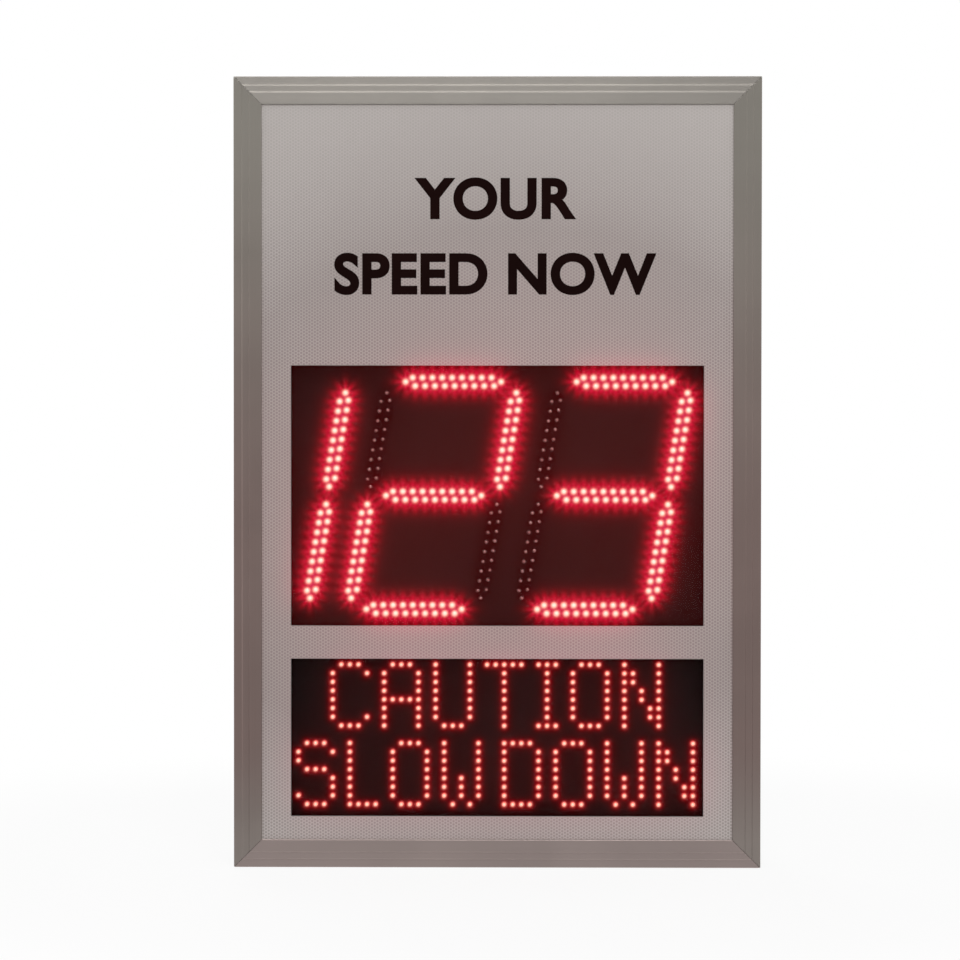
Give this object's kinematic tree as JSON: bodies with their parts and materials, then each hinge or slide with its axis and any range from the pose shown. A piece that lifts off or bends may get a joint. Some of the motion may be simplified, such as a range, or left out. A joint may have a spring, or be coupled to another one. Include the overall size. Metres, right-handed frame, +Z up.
{
  "type": "radar speed sign",
  "caption": "Pole-mounted road sign: shallow mitred aluminium cabinet with a reflective face, leaning LED speed figures and an LED message behind clear panes, on folded post rails.",
  "frame": {"origin": "centre of the four clamp slots, on the back plane of the mounting rails", "axes": "+X to the right seen from the front, +Y to the back towards the post, +Z up"},
  "size_m": [0.6, 0.124, 0.9],
  "materials": {
    "frame_aluminium": "satin anodised",
    "panel_sheet": "smooth sheet",
    "reflective_film": "honeycomb reflective film",
    "pane_clear": "clear polished",
    "seal_rubber": "matt",
    "carrier_plate": "matt black",
    "display_board": "matt black",
    "led_lit": "clear lens, lit",
    "led_unlit": "clear lens, unlit",
    "message_led": "clear lens, lit",
    "legend_vinyl": "cut vinyl",
    "spacer_plastic": "moulded",
    "zinc_steel": "zinc plated",
    "rail_steel": "hot-dip galvanised",
    "fastener_steel": "stainless",
    "controller_board": "solder mask",
    "supply_case": "plain sheet",
    "radar_housing": "moulded",
    "terminal_plastic": "moulded",
    "cover_sheet": "powder-coated grey",
    "gland_plastic": "moulded nylon"
  },
  "bodies": {
    "root": {"board_spacers": "spacer_plastic", "bottom_frame_profile": "frame_aluminium", "bottom_left_corner_bracket": "zinc_steel", "bottom_right_corner_bracket": "zinc_steel", "cable_gland_body": "gland_plastic", "cable_gland_cap": "gland_plastic", "cable_gland_locknut": "gland_plastic", "carrier_standoffs": "zinc_steel", "controller_board": "controller_board", "controller_standoffs": "zinc_steel", "digit_window_pane": "pane_clear", "digit_window_seal": "seal_rubber", "display_carrier_plate": "carrier_plate", "front_panel": "panel_sheet", "hundreds_lower_right_leds": "led_lit", "hundreds_segment_boards": "display_board", "hundreds_upper_right_leds": "led_lit", "left_frame_profile": "frame_aluminium", "lower_mounting_rail": "rail_steel", "message_board": "display_board", "message_window_pane": "pane_clear", "message_window_seal": "seal_rubber", "power_supply": "supply_case", "radar_module": "radar_housing", "radar_standoffs": "zinc_steel", "rail_bolts": "fastener_steel", "rail_nuts": "fastener_steel", "rear_cover": "cover_sheet", "rear_cover_gasket": "seal_rubber", "rear_cover_screws": "fastener_steel", "reflective_film": "reflective_film", "right_frame_profile": "frame_aluminium", "tens_bottom_leds": "led_lit", "tens_lower_left_leds": "led_lit", "tens_lower_right_leds": "led_unlit", "tens_middle_leds": "led_lit", "tens_segment_boards": "display_board", "tens_top_leds": "led_lit", "tens_upper_left_leds": "led_unlit", "tens_upper_right_leds": "led_lit", "terminal_block": "terminal_plastic", "top_frame_profile": "frame_aluminium", "top_left_corner_bracket": "zinc_steel", "top_right_corner_bracket": "zinc_steel", "units_bottom_leds": "led_lit", "units_lower_left_leds": "led_unlit", "units_lower_right_leds": "led_lit", "units_middle_leds": "led_lit", "units_segment_boards": "display_board", "units_top_leds": "led_lit", "units_upper_left_leds": "led_unlit", "units_upper_right_leds": "led_lit", "upper_mounting_rail": "rail_steel"}
  },
  "joints": []
}
